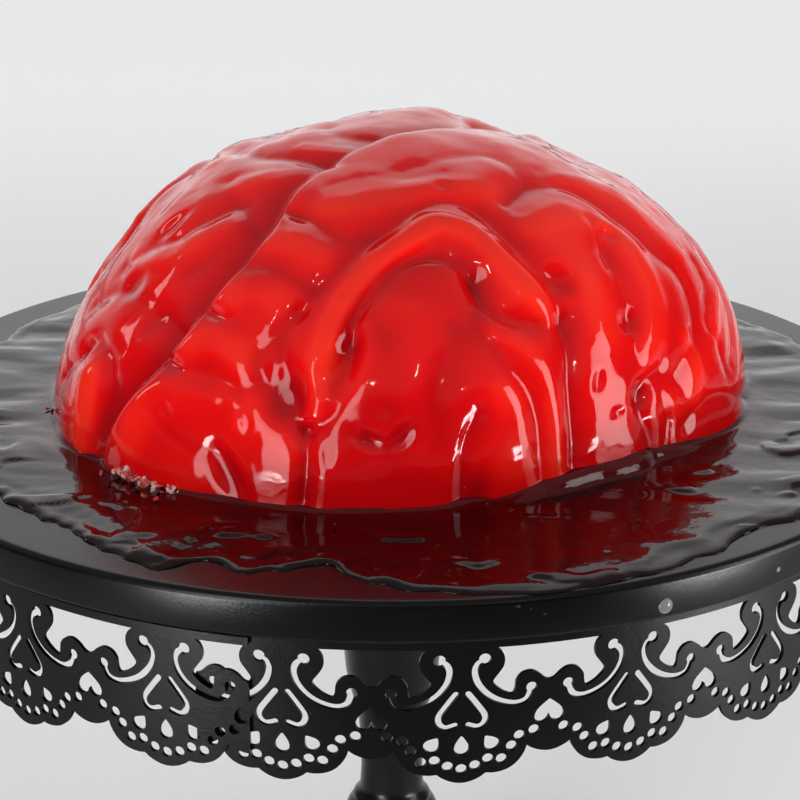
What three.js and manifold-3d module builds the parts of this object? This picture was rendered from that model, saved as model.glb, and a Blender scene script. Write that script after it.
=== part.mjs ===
// A brain-shaped entremets, glazed red, on a black metal pedestal cake stand with a lace skirt.
// Millimetres, +Z up. The origin is the middle of the foot's resting face, and -Y is the front.
import * as THREE from 'three';
import { mergeVertices } from 'three/addons/utils/BufferGeometryUtils.js';
import Module from 'manifold-3d';

const wasm = await Module();
wasm.setup();

// ---------------------------------------------------------------- driving dimensions
const GAP = 0.3;                 // clearance between pieces that touch

const STAND_HEIGHT = 200;        // floor to the top of the plate
const PLATE_RADIUS = 150;
const PLATE_RIM_HEIGHT = 10.8;   // smooth upright band around the plate
const PLATE_EDGE_ROUND = 1.8;
const PLATE_SEGMENTS = 76;

const SKIRT_THICKNESS = 1.0;     // lace strip hung under the rim band
const SKIRT_RADIUS = 147.9;      // outside of the strip at its first end
const SKIRT_SPIRAL = 0.75;       // the last end lies this much further out, over the first
const SKIRT_STEPS = 64;
const MODULES = 22;              // repeats of the lace pattern
const MODULE_PITCH = 16.608;     // degrees from one scallop to the next
const FIRST_SCALLOP = -10.19;    // degrees, measured from the front, positive to the right
const STRIP_START = -18.3;
const STRIP_END = 346.4;
const LACE_CENTRE = -38.5;       // height of the scallop's middle drop, from the plate's top
const WINDOW_TOP = 25.3;         // heights in the pattern are measured from that drop
const WINDOW_SIDE = 8.1;         // from the scallop's axis
const HALF_PITCH = 21.35;        // from the scallop's axis to the middle of the window

const COLUMN_TOP_RADIUS = 22;
const COLUMN_NECK_RADIUS = 9.7;
const COLUMN_BULB_RADIUS = 15.5;
const COLUMN_FOOT_HEIGHT = 30;   // where the column stands on the foot
const COLUMN_SEGMENTS = 24;

const FOOT_RADIUS = 80;
const FOOT_LIP = 3.2;
const FOOT_SEGMENTS = 40;

const CAKE_CENTRE = [2.7, 4.0];
const CAKE_LENGTH = 206;         // along the long fissure
const CAKE_WIDTH = 186;
const CAKE_HEIGHT = 82;
const CAKE_TURN = 42;            // degrees from +X to the long fissure
const CAKE_ROUNDNESS = 2.25;     // exponent of the rounded-oblong plan
const CAKE_RINGS = 22;
const CAKE_BASE_STEPS = 100;

const FISSURE_WIDTH = 7.5;
const FISSURE_DEPTH = 12;
const FOLD_WIDTH = 5.0;
const FOLD_DEPTH = 6.5;
const FULLNESS = 1.3;            // how far the rounded folds stand out past the smooth dome

const rad = THREE.MathUtils.degToRad;

// ---------------------------------------------------------------- materials
const satinBlack = new THREE.MeshStandardMaterial({ color: 0x0d0d0e, roughness: 0.42, metalness: 0.6 });
const laceBlack = new THREE.MeshStandardMaterial({ color: 0x0b0b0c, roughness: 0.5, metalness: 0.6 });
const columnBlack = new THREE.MeshStandardMaterial({ color: 0x0e0e0f, roughness: 0.35, metalness: 0.6 });
const footBlack = new THREE.MeshStandardMaterial({ color: 0x0d0d0e, roughness: 0.4, metalness: 0.6 });
const redGlaze = new THREE.MeshStandardMaterial({ color: 0xd0100f, roughness: 0.12, metalness: 0.0 });

// ---------------------------------------------------------------- helpers
function meshFrom(vertices, triangles) {
  const geometry = new THREE.BufferGeometry();
  geometry.setAttribute('position', new THREE.Float32BufferAttribute(vertices, 3));
  geometry.setIndex(triangles);
  geometry.computeVertexNormals();
  return geometry;
}

function toManifold(geometry) {
  const bare = geometry.clone();
  bare.deleteAttribute('normal');
  bare.deleteAttribute('uv');
  const merged = mergeVertices(bare, 1e-4);
  return new wasm.Manifold(new wasm.Mesh({
    numProp: 3,
    vertProperties: new Float32Array(merged.attributes.position.array),
    triVerts: new Uint32Array(merged.index.array),
  }));
}

function fromManifold(solid) {
  const m = solid.getMesh();
  const vertices = [];
  for (let i = 0; i < m.vertProperties.length; i += m.numProp) {
    vertices.push(m.vertProperties[i], m.vertProperties[i + 1], m.vertProperties[i + 2]);
  }
  return meshFrom(vertices, Array.from(m.triVerts));
}

function turned(profile, segments) {
  // profile of [radius, height] pairs from the axis at the bottom round to the axis at the top
  const g = new THREE.LatheGeometry(profile.map(([r, z]) => new THREE.Vector2(r, z)), segments);
  g.rotateX(Math.PI / 2);
  g.deleteAttribute('uv');
  g.deleteAttribute('normal');
  const merged = mergeVertices(g, 1e-4);
  merged.computeVertexNormals();
  return merged;
}

function roundedCorner(r, z, radius, from, to, steps) {
  const points = [];
  for (let i = 0; i <= steps; i++) {
    const a = rad(from + (to - from) * i / steps);
    points.push([r + radius * Math.cos(a), z + radius * Math.sin(a)]);
  }
  return points;
}

// ---------------------------------------------------------------- plate
function makePlate() {
  const top = STAND_HEIGHT;
  const bottom = top - PLATE_RIM_HEIGHT;
  const e = PLATE_EDGE_ROUND;
  return turned([
    [0, bottom],
    [PLATE_RADIUS, bottom],
    ...roundedCorner(PLATE_RADIUS - e, top - e, e, 0, 90, 3),
    [0, top],
  ], PLATE_SEGMENTS);
}

// ---------------------------------------------------------------- lace skirt
// A flat strip rolled into a ring: its ends lie over each other at the seam.
function rolledStrip() {
  const zTop = STAND_HEIGHT - PLATE_RIM_HEIGHT - GAP;
  const zLow = STAND_HEIGHT + LACE_CENTRE - 9.9;
  const vertices = [];
  const triangles = [];
  for (let i = 0; i <= SKIRT_STEPS; i++) {
    const t = i / SKIRT_STEPS;
    const a = rad(STRIP_START + (STRIP_END - STRIP_START) * t);
    // the strip steps outward over its last quarter, where it comes round to its own beginning
    const out = SKIRT_RADIUS + SKIRT_SPIRAL * (0.25 * t + 0.75 * THREE.MathUtils.smoothstep(t, 0.7, 0.96)) + (t > 0.9 ? 0.65 * THREE.MathUtils.smoothstep(t, 0.9, 0.975) : 0);
    for (const r of [out - SKIRT_THICKNESS, out]) {
      for (const z of [zLow, zTop]) vertices.push(r * Math.sin(a), -r * Math.cos(a), z);
    }
  }
  const quad = (a, b, c, d) => triangles.push(a, b, c, a, c, d);
  for (let i = 0; i < SKIRT_STEPS; i++) {
    const p = 4 * i, q = p + 4;
    quad(p + 2, q + 2, q + 3, p + 3);   // outside
    quad(q, p, p + 1, q + 1);           // inside
    quad(p + 1, p + 3, q + 3, q + 1);   // top
    quad(p, q, q + 2, p + 2);           // bottom
  }
  quad(0, 2, 3, 1);
  const l = 4 * SKIRT_STEPS;
  quad(l + 2, l, l + 1, l + 3);
  return meshFrom(vertices, triangles);
}

// a cutter: an outline in the strip's own plane, run straight through the strip
function throughStrip(outline, angle) {
  const shape = new THREE.Shape(outline.map(([x, z]) => new THREE.Vector2(x, z)));
  const g = new THREE.ExtrudeGeometry(shape, { depth: 16, bevelEnabled: false, steps: 1 });
  g.applyMatrix4(new THREE.Matrix4().set(
    1, 0, 0, 0,
    0, 0, -1, -(SKIRT_RADIUS - 8),
    0, 1, 0, STAND_HEIGHT + LACE_CENTRE,
    0, 0, 0, 1));
  g.rotateZ(rad(angle));
  return toManifold(g);
}

// points of an arc from a to b that swells to the right of the way by `bulge`
function lobe(a, b, bulge, steps) {
  const [dx, dz] = [b[0] - a[0], b[1] - a[1]];
  const length = Math.hypot(dx, dz);
  const points = [];
  for (let i = 0; i < steps; i++) {
    const t = i / steps;
    const s = bulge * Math.sin(Math.PI * t) ** 0.8;
    points.push([a[0] + dx * t + dz / length * s, a[1] + dz * t - dx / length * s]);
  }
  return points;
}

const CUSP_INNER = [5.9, -7.5];
const CUSP_OUTER = [15.9, -1.1];
function mirrored(point) { return [-point[0], point[1]]; }

function belowScallops() {
  const far = [HALF_PITCH + 0.3, -3.1];
  return [
    [-far[0], -16], [far[0], -16], far,
    [18.6, -2.6], CUSP_OUTER,
    ...lobe(CUSP_OUTER, CUSP_INNER, -2.5, 3).slice(1),
    ...lobe(CUSP_INNER, mirrored(CUSP_INNER), -2.4, 4),
    ...lobe(mirrored(CUSP_INNER), mirrored(CUSP_OUTER), -2.5, 3),
    mirrored(CUSP_OUTER), [-18.6, -2.6], mirrored(far),
  ];
}

function windowOutline() {
  // one half from the top corner to the dip in the middle; measured from the window's middle
  const half = [[WINDOW_SIDE, WINDOW_TOP], [9.9, 21.6], [7.6, 16.6], [12.0, 12.8], [13.8, 17.5], [17.0, 18.3]]
    .map(([x, z]) => [x - HALF_PITCH, z]);
  return [...half, [0, 15.7], ...half.map(mirrored).reverse()];
}

function heartOutline() {
  // an upturned heart: its point up, two lobes below
  return [[0, 10.6], [-3.6, 7.0], [-2.4, 4.5], [0, 6.2], [2.4, 4.5], [3.6, 7.0]];
}

function makeSkirt() {
  let strip = toManifold(rolledStrip());
  const cutters = [];
  for (let k = 0; k < MODULES; k++) {
    const axis = FIRST_SCALLOP + MODULE_PITCH * k;
    cutters.push(throughStrip(belowScallops(), axis));
    if (k < MODULES - 1) {
      cutters.push(throughStrip(windowOutline(), axis + MODULE_PITCH / 2));
      cutters.push(throughStrip(heartOutline(), axis + MODULE_PITCH / 2));
    }
  }
  for (const c of cutters) strip = strip.subtract(c);
  return fromManifold(strip);
}

// ---------------------------------------------------------------- column and foot
function makeColumn() {
  const t = STAND_HEIGHT;
  const b = COLUMN_FOOT_HEIGHT + GAP;
  return turned([
    [0, b], [17, b], [17, b + 2], [12.4, b + 3.6], [9.4, b + 7.5], [9.2, b + 11],
    [11.2, b + 15], [14.4, b + 19], [COLUMN_BULB_RADIUS, b + 25], [14.4, b + 31], [11.9, b + 35.5],
    [COLUMN_NECK_RADIUS + 0.3, b + 40], [COLUMN_NECK_RADIUS, t - 120], [10.6, t - 106], [14.0, t - 94], [15.3, t - 78],
    [17.2, t - 24], [COLUMN_TOP_RADIUS, t - 15],
    [COLUMN_TOP_RADIUS, t - PLATE_RIM_HEIGHT - GAP], [0, t - PLATE_RIM_HEIGHT - GAP],
  ], COLUMN_SEGMENTS);
}

function makeFoot() {
  const top = COLUMN_FOOT_HEIGHT;
  const profile = [[0, 0], [FOOT_RADIUS - 1, 0], [FOOT_RADIUS, 1], [FOOT_RADIUS, FOOT_LIP]];
  // an ogee that rises from the lip to the seat of the column
  for (let i = 1; i <= 6; i++) {
    const t = i / 6;
    profile.push([FOOT_RADIUS - 1 - (FOOT_RADIUS - 21) * t, FOOT_LIP + (top - FOOT_LIP) * (0.28 * t + 0.72 * t * t * t * (1.6 - 0.6 * t))]);
  }
  profile.push([0, top]);
  return turned(profile, FOOT_SEGMENTS);
}

// ---------------------------------------------------------------- cake
// A point of the smooth dome, for an angle round the long axis and a height angle, in degrees.
// The front end of the long fissure is at 180, the near half at 180 to 360.
function domePoint(around, up) {
  const a = rad(around), e = rad(up);
  const c = Math.cos(a), s = Math.sin(a);
  const k = (Math.abs(c) ** CAKE_ROUNDNESS + Math.abs(s) ** CAKE_ROUNDNESS) ** (-1 / CAKE_ROUNDNESS);
  return [CAKE_LENGTH / 2 * Math.cos(e) * k * c, CAKE_WIDTH / 2 * Math.cos(e) * k * s, CAKE_HEIGHT * Math.sin(e)];
}

function domeNormal([u, v, z]) {
  const A = CAKE_LENGTH / 2, B = CAKE_WIDTH / 2, n = CAKE_ROUNDNESS;
  const pu = Math.abs(u) / A, pv = Math.abs(v) / B;
  const r = Math.max(1e-6, (pu ** n + pv ** n) ** (1 / n));
  const g = [r ** (2 - n) * pu ** (n - 1) * Math.sign(u) / A, r ** (2 - n) * pv ** (n - 1) * Math.sign(v) / B, z / CAKE_HEIGHT ** 2];
  const l = Math.hypot(...g);
  return g.map((c) => c / l);
}

// The folds, each a curve over the dome: [depth, width, then around/up pairs that it bends through].
const FOLDS = [
  [0.9, 0.9, 187, 23, 202, 22, 212, 19],
  [0.7, 0.8, 189, 14, 198, 10, 207, 2],
  [0.9, 0.8, 193, 33, 202, 32, 208, 27],
  [0.7, 0.9, 199, 55, 212, 54, 218, 47, 212, 42, 199, 44],
  [1.2, 1.0, 248, 58, 228, 54, 216, 42, 210, 31, 210, 22, 215, 15, 216, 0],
  [1.2, 1.0, 225, 27, 225, 37, 234, 47, 244, 45, 249, 32, 257, 20, 257, 0],
  [1.0, 1.0, 236, 60, 251, 53, 258, 41, 263, 29, 262, 21, 267, 14],
  [0.7, 1.0, 291, 68, 275, 59, 253, 51],
  [0.9, 1.0, 262, 55, 275, 58, 290, 54, 293, 42, 291, 28, 280, 19, 273, 12, 274, 0],
  [0.7, 0.9, 282, 47, 278, 36, 272, 24],
  [1.0, 0.8, 242, 18, 241, 9, 241, 0],
  [0.8, 0.8, 225, 27, 220, 18, 216, 14],
  [0.9, 0.9, 309, 31, 299, 16, 292, 0],
  [0.8, 0.9, 326, 42, 321, 24, 314, 8],
  [0.9, 1.0, 343, 50, 338, 30, 336, 2],
  [0.8, 0.9, 356, 36, 348, 22, 352, 2],
  [0.7, 0.9, 150, 33, 160, 41, 170, 47, 178, 54],
  [0.4, 0.8, 121, 60, 149, 66, 180, 70],
  [0.8, 0.9, 146, 23, 162, 30, 184, 29],
  [0.9, 0.9, 146, 8, 158, 18, 171, 19, 172, 3],
];
const HIDDEN_FROM = 210, HIDDEN_TO = 345; // folds of the near half that the far half repeats
const LOBES = [[171, 4, 20, 3.5], [190, 4, 18, 3.5], [236, 26, 17, 2.0], [268, 44, 16, 1.5],
  [328, 54, 40, -3.2], [110, 76, 34, -1.6]]; // around, up, radius, swell

function bendThrough(points, steps) {
  // a smooth curve through the points
  const out = [];
  const at = (i) => points[Math.min(points.length - 1, Math.max(0, i))];
  for (let i = 0; i < points.length - 1; i++) {
    const [p0, p1, p2, p3] = [at(i - 1), at(i), at(i + 1), at(i + 2)];
    for (let j = 0; j < steps; j++) {
      const t = j / steps;
      out.push([0, 1].map((k) => 0.5 * (2 * p1[k] + (p2[k] - p0[k]) * t
        + (2 * p0[k] - 5 * p1[k] + 4 * p2[k] - p3[k]) * t * t + (3 * p1[k] - p0[k] - 3 * p2[k] + p3[k]) * t * t * t)));
    }
  }
  out.push(points[points.length - 1]);
  return out;
}

function foldCurves() {
  const curves = [];
  for (const [depth, width, ...flat] of FOLDS) {
    const points = [];
    for (let i = 0; i < flat.length; i += 2) points.push([flat[i], flat[i + 1]]);
    curves.push({ depth, width, path: bendThrough(points, 6).map(([a, e]) => domePoint(a, Math.min(e, 89))) });
    if (points.every(([a]) => a >= HIDDEN_FROM && a <= HIDDEN_TO)) {
      const other = points.map(([a, e]) => [355 - a + 6 * Math.sin(rad(3 * a)), Math.max(0, e - 2 + 3 * Math.cos(rad(5 * a)))]);
      curves.push({ depth, width, path: bendThrough(other, 6).map(([a, e]) => domePoint(a, Math.min(e, 89))) });
    }
  }
  return curves;
}

function distanceToPath(p, path) {
  let best = Infinity;
  for (let i = 0; i < path.length - 1; i++) {
    const a = path[i], b = path[i + 1];
    const d = [b[0] - a[0], b[1] - a[1], b[2] - a[2]];
    const q = [p[0] - a[0], p[1] - a[1], p[2] - a[2]];
    const t = Math.min(1, Math.max(0, (q[0] * d[0] + q[1] * d[1] + q[2] * d[2]) / (d[0] * d[0] + d[1] * d[1] + d[2] * d[2] + 1e-9)));
    best = Math.min(best, Math.hypot(q[0] - d[0] * t, q[1] - d[1] * t, q[2] - d[2] * t));
  }
  return best;
}

function valley(distance, width, bottom) {
  return Math.exp(-(Math.sqrt(distance * distance + bottom * bottom) - bottom) / width);
}

function fissureMiddle(u) {
  // the fissure runs a little to the far side at the front and wanders back over the top
  return 1 - 4 * THREE.MathUtils.smoothstep(u, -103, -30) + 6 * THREE.MathUtils.smoothstep(u, 10, 100);
}

function carve(p, curves) {
  const [u, v, z] = p;
  const along = THREE.MathUtils.clamp(z / CAKE_HEIGHT, 0, 1);
  // shallow at the base, where the glaze fills it, deepest low on the ends, easing over the top
  const depth = FISSURE_DEPTH * (0.3 + 0.7 * THREE.MathUtils.smoothstep(along, 0, 0.22)) * (1 - 0.42 * THREE.MathUtils.smoothstep(along, 0.45, 1));
  let rest = 1 - valley(Math.abs(v - fissureMiddle(u)), FISSURE_WIDTH, 3) * Math.min(1, depth / 16);
  for (const c of curves) rest *= 1 - Math.min(0.95, c.depth * FOLD_DEPTH / 16 * valley(distanceToPath(p, c.path), FOLD_WIDTH * c.width, 2));
  let swell = FULLNESS;
  for (const [a, e, radius, height] of LOBES) {
    const q = domePoint(a, e);
    const d = Math.hypot(p[0] - q[0], p[1] - q[1], p[2] - q[2]) / radius;
    swell += height * Math.exp(-d * d);
  }
  return 16 * (1 - rest) - swell;
}

function makeCake() {
  const curves = foldCurves();
  const turn = rad(CAKE_TURN);
  const base = STAND_HEIGHT + GAP;
  const vertices = [];
  const triangles = [];
  const rings = [];
  const place = ([u, v, z]) => {
    vertices.push(CAKE_CENTRE[0] + u * Math.cos(turn) - v * Math.sin(turn), CAKE_CENTRE[1] + u * Math.sin(turn) + v * Math.cos(turn), base + z);
    return vertices.length / 3 - 1;
  };
  for (let k = 0; k < CAKE_RINGS; k++) {
    const up = 90 * k / CAKE_RINGS;
    const count = Math.max(6, Math.round(CAKE_BASE_STEPS * Math.cos(rad(up))));
    const ring = [];
    for (let i = 0; i < count; i++) {
      const around = 360 * (i + 0.5 * (k % 2)) / count;
      const p = domePoint(around, up);
      const n = domeNormal(p);
      const d = carve(p, curves);
      ring.push({ around, id: place([p[0] - n[0] * d, p[1] - n[1] * d, Math.max(0, p[2] - n[2] * d)]) });
    }
    rings.push(ring);
  }
  const apex = place([0, 0, CAKE_HEIGHT - carve([0, 0, CAKE_HEIGHT], curves)]);
  const middle = place([0, 0, 0]);
  // stitch each ring to the next one up
  for (let k = 0; k < rings.length - 1; k++) {
    const low = rings[k], high = rings[k + 1];
    let i = 0, j = 0;
    while (i < low.length || j < high.length) {
      const nextLow = low[0].around + 360 * (i + 1) / low.length;
      const nextHigh = high[0].around + 360 * (j + 1) / high.length;
      const a = low[i % low.length].id, b = high[j % high.length].id;
      if (j >= high.length || (i < low.length && nextLow <= nextHigh)) {
        triangles.push(a, low[(i + 1) % low.length].id, b);
        i++;
      } else {
        triangles.push(a, high[(j + 1) % high.length].id, b);
        j++;
      }
    }
  }
  const last = rings[rings.length - 1];
  last.forEach((p, i) => triangles.push(p.id, last[(i + 1) % last.length].id, apex));
  rings[0].forEach((p, i) => triangles.push(rings[0][(i + 1) % rings[0].length].id, p.id, middle));
  return meshFrom(vertices, triangles);
}

// ---------------------------------------------------------------- assembly
function piece(name, geometry, material) {
  const mesh = new THREE.Mesh(geometry, material);
  mesh.name = name;
  return mesh;
}

const object = new THREE.Group();
object.add(piece('cake', makeCake(), redGlaze));

const stand = new THREE.Group();
stand.add(piece('plate', makePlate(), satinBlack));
stand.add(piece('lace_skirt', makeSkirt(), laceBlack));
stand.add(piece('column', makeColumn(), columnBlack));
stand.add(piece('foot', makeFoot(), footBlack));
object.add(stand);

export default object;
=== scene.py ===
import math

import bpy
import numpy as np
from mathutils import Matrix, Vector
from mathutils.geometry import delaunay_2d_cdt


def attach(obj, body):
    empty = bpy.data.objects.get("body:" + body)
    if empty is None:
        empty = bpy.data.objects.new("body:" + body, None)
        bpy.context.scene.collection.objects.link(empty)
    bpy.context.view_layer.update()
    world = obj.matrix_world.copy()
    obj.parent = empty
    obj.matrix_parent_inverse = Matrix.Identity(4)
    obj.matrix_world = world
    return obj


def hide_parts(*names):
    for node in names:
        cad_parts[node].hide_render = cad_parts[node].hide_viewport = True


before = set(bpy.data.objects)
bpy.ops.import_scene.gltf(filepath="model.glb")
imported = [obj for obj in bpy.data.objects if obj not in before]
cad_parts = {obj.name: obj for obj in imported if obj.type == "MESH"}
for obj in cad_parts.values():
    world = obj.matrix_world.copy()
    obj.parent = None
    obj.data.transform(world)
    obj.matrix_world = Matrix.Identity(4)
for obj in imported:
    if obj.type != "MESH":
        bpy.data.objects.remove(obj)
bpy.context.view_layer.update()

# Sizes are in millimetres here and become metres when a mesh is made.
MM = 0.001
TOP = 200.0                     # the plate's top over the floor
PLATE_R = 150.0
RIM = 10.8

scene = bpy.context.scene


# ------------------------------------------------------------------ numbers
def smoothstep(x, a, b):
    t = np.clip((np.asarray(x, float) - a) / (b - a), 0, 1)
    return t * t * (3 - 2 * t)


def lattice(ix, iy, iz, seed):
    h = (ix * 374761393 + iy * 668265263 + iz * 1103515245 + seed * 1274126177) & 0xFFFFFFFF
    h = ((h ^ (h >> 13)) * 1274126177) & 0xFFFFFFFF
    h = ((h ^ (h >> 15)) * 2246822519) & 0xFFFFFFFF
    return ((h ^ (h >> 16)) & 0xFFFF) / 32767.5 - 1.0


def noise3(p, size, seed=0):
    """Smooth noise from -1 to 1 with features of that size."""
    q = np.asarray(p, float) / size
    i = np.floor(q).astype(np.int64)
    f = q - i
    w = f * f * f * (f * (f * 6 - 15) + 10)
    out = 0.0
    for dx in (0, 1):
        for dy in (0, 1):
            for dz in (0, 1):
                k = (w[..., 0] if dx else 1 - w[..., 0]) * (w[..., 1] if dy else 1 - w[..., 1]) * (w[..., 2] if dz else 1 - w[..., 2])
                out = out + k * lattice(i[..., 0] + dx, i[..., 1] + dy, i[..., 2] + dz, seed)
    return out


def fbm(p, size, seed=0, octaves=3):
    return sum(noise3(p, size / 2 ** o, seed + 17 * o) / 2 ** o for o in range(octaves))


# ------------------------------------------------------------------ meshes
def mesh_object(name, vertices, faces, smooth=True, sharp=None):
    me = bpy.data.meshes.new(name)
    v = np.asarray(vertices, float) * MM
    me.from_pydata(v.tolist(), [], [tuple(int(i) for i in f) for f in faces])
    me.validate()
    me.update()
    if smooth:
        me.polygons.foreach_set("use_smooth", [True] * len(me.polygons))
        if sharp:
            me.set_sharp_from_angle(angle=math.radians(sharp))
    ob = bpy.data.objects.new(name, me)
    scene.collection.objects.link(ob)
    return ob


def point_attribute(ob, name, values):
    a = ob.data.attributes.new(name, "FLOAT", "POINT")
    a.data.foreach_set("value", np.asarray(values, np.float32))


def turned(name, profile, segments, sharp=40):
    """A closed turned solid from [radius, height] pairs, from the axis round to the axis."""
    rings, vertices, faces = [], [], []
    for r, z in profile:
        if r < 1e-6:
            vertices.append((0, 0, z))
            rings.append([len(vertices) - 1])
        else:
            ids = []
            for i in range(segments):
                a = 2 * math.pi * i / segments
                vertices.append((r * math.sin(a), -r * math.cos(a), z))
                ids.append(len(vertices) - 1)
            rings.append(ids)
    for low, high in zip(rings[:-1], rings[1:]):
        for i in range(segments):
            j = (i + 1) % segments
            if len(low) == 1:
                faces.append((low[0], high[j], high[i]))
            elif len(high) == 1:
                faces.append((low[i], low[j], high[0]))
            else:
                faces.append((low[i], low[j], high[j], high[i]))
    return mesh_object(name, vertices, faces, sharp=sharp)


def rounded_profile(points, radii, steps=5):
    """The profile with its corners rounded: radii gives one radius for each point."""
    out = []
    n = len(points)
    for k, (p, r) in enumerate(zip(points, radii)):
        if k in (0, n - 1) or r <= 0:
            out.append(tuple(p))
            continue
        p = np.array(p, float)
        a = np.array(points[k - 1], float) - p
        b = np.array(points[k + 1], float) - p
        la, lb = np.linalg.norm(a), np.linalg.norm(b)
        cut = min(r, la * 0.45, lb * 0.45)
        s, e = p + a / la * cut, p + b / lb * cut
        for i in range(steps + 1):
            t = i / steps
            out.append(tuple((1 - t) ** 2 * s + 2 * t * (1 - t) * p + t ** 2 * e))
    return out


def bend_through(points, steps):
    """A smooth curve through points of any number of coordinates."""
    P = [np.array(p, float) for p in points]
    out = []
    for i in range(len(P) - 1):
        p0, p1, p2, p3 = P[max(i - 1, 0)], P[i], P[i + 1], P[min(i + 2, len(P) - 1)]
        for j in range(steps):
            t = j / steps
            out.append(0.5 * (2 * p1 + (p2 - p0) * t + (2 * p0 - 5 * p1 + 4 * p2 - p3) * t * t + (3 * p1 - p0 - 3 * p2 + p3) * t ** 3))
    out.append(P[-1])
    return np.array(out)


# ------------------------------------------------------------------ materials
def material(name):
    m = bpy.data.materials.new(name)
    m.use_nodes = True
    nt = m.node_tree
    nt.nodes.clear()
    out = nt.nodes.new("ShaderNodeOutputMaterial")
    p = nt.nodes.new("ShaderNodeBsdfPrincipled")
    nt.links.new(p.outputs["BSDF"], out.inputs["Surface"])
    return m, nt, p


def node(nt, kind, inputs=None, **settings):
    n = nt.nodes.new(kind)
    for k, v in settings.items():
        setattr(n, k, v)
    for k, v in (inputs or {}).items():
        if isinstance(v, bpy.types.NodeSocket):
            nt.links.new(v, n.inputs[k])
        else:
            n.inputs[k].default_value = v
    return n


def place(nt):
    return node(nt, "ShaderNodeTexCoord").outputs["Object"]


def ramp(nt, fac, stops, interpolation="LINEAR"):
    r = node(nt, "ShaderNodeValToRGB", {"Fac": fac})
    e = r.color_ramp.elements
    r.color_ramp.interpolation = interpolation
    while len(e) < len(stops):
        e.new(0.5)
    for k, (at, colour) in enumerate(stops):
        e[k].position = at
        e[k].color = (*colour, 1) if len(colour) == 3 else colour
    return r.outputs["Color"]


def grey(v):
    return (v, v, v)


def mix_colour(nt, fac, a, b, blend="MIX"):
    n = node(nt, "ShaderNodeMix", data_type="RGBA", blend_type=blend)
    for key, v in ((0, fac), (6, a), (7, b)):
        if isinstance(v, bpy.types.NodeSocket):
            nt.links.new(v, n.inputs[key])
        else:
            n.inputs[key].default_value = v if key == 0 or len(v) == 4 else (*v, 1)
    return n.outputs[2]


def math_node(nt, op, a, b=0.0):
    n = node(nt, "ShaderNodeMath", operation=op)
    for k, v in enumerate((a, b)):
        if isinstance(v, bpy.types.NodeSocket):
            nt.links.new(v, n.inputs[k])
        else:
            n.inputs[k].default_value = v
    return n.outputs[0]


def glaze_material():
    m, nt, p = material("red_mirror_glaze")
    where = place(nt)
    fold = node(nt, "ShaderNodeAttribute", attribute_name="fold").outputs["Fac"]
    cloud = node(nt, "ShaderNodeTexNoise", {"Vector": where, "Scale": 55.0, "Detail": 3.0, "Roughness": 0.55}).outputs["Fac"]
    # the glaze lies thin on the crowns, where the pale mousse shows through, and pools in the folds; the colour also
    # carries painted shade in folds, pits and at the base, and painted light on the crowns
    glaze_depth_and_shade = math_node(nt, "ADD", fold, math_node(nt, "MULTIPLY", math_node(nt, "SUBTRACT", cloud, 0.5), 0.16))
    colour = ramp(nt, glaze_depth_and_shade, [
        (0.00, (0.96, 0.024, 0.010)),
        (0.18, (0.90, 0.012, 0.007)),
        (0.36, (0.80, 0.004, 0.004)),
        (0.62, (0.64, 0.002, 0.004)),
        (1.00, (0.38, 0.001, 0.004)),
    ])
    nt.links.new(colour, p.inputs["Base Color"])
    rough = node(nt, "ShaderNodeMapRange", {"Value": cloud, "To Min": 0.035, "To Max": 0.085}).outputs["Result"]
    nt.links.new(rough, p.inputs["Roughness"])
    p.inputs["IOR"].default_value = 1.38
    p.inputs["Subsurface Weight"].default_value = 0.12
    p.inputs["Subsurface Radius"].default_value = (1.0, 0.12, 0.06)
    p.inputs["Subsurface Scale"].default_value = 0.004
    waves = node(nt, "ShaderNodeTexNoise", {"Vector": where, "Scale": 95.0, "Detail": 2.0, "Roughness": 0.4}).outputs["Fac"]
    grain = node(nt, "ShaderNodeTexNoise", {"Vector": where, "Scale": 700.0, "Detail": 2.0, "Roughness": 0.5}).outputs["Fac"]
    height = math_node(nt, "ADD", waves, math_node(nt, "MULTIPLY", grain, 0.02))
    bump = node(nt, "ShaderNodeBump", {"Strength": 0.18, "Distance": 0.002, "Height": height})
    nt.links.new(bump.outputs["Normal"], p.inputs["Normal"])
    return m


def pool_material():
    m, nt, p = material("glaze_pool_dark")
    where = place(nt)
    thick = node(nt, "ShaderNodeAttribute", attribute_name="thick").outputs["Fac"]
    cloud = node(nt, "ShaderNodeTexNoise", {"Vector": where, "Scale": 40.0, "Detail": 4.0, "Roughness": 0.6}).outputs["Fac"]
    t = math_node(nt, "ADD", thick, math_node(nt, "MULTIPLY", math_node(nt, "SUBTRACT", cloud, 0.5), 0.3))
    colour = ramp(nt, t, [
        (0.0, (0.004, 0.0008, 0.0008)),
        (0.35, (0.010, 0.0008, 0.0010)),
        (0.7, (0.028, 0.0010, 0.0014)),
        (1.0, (0.09, 0.0014, 0.0024)),
    ])
    nt.links.new(colour, p.inputs["Base Color"])
    rough = node(nt, "ShaderNodeMapRange", {"Value": cloud, "To Min": 0.03, "To Max": 0.10}).outputs["Result"]
    nt.links.new(rough, p.inputs["Roughness"])
    p.inputs["IOR"].default_value = 1.33
    fine = node(nt, "ShaderNodeTexNoise", {"Vector": where, "Scale": 260.0, "Detail": 2.0, "Roughness": 0.5}).outputs["Fac"]
    bump = node(nt, "ShaderNodeBump", {"Strength": 0.10, "Distance": 0.001, "Height": fine})
    nt.links.new(bump.outputs["Normal"], p.inputs["Normal"])
    return m


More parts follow.
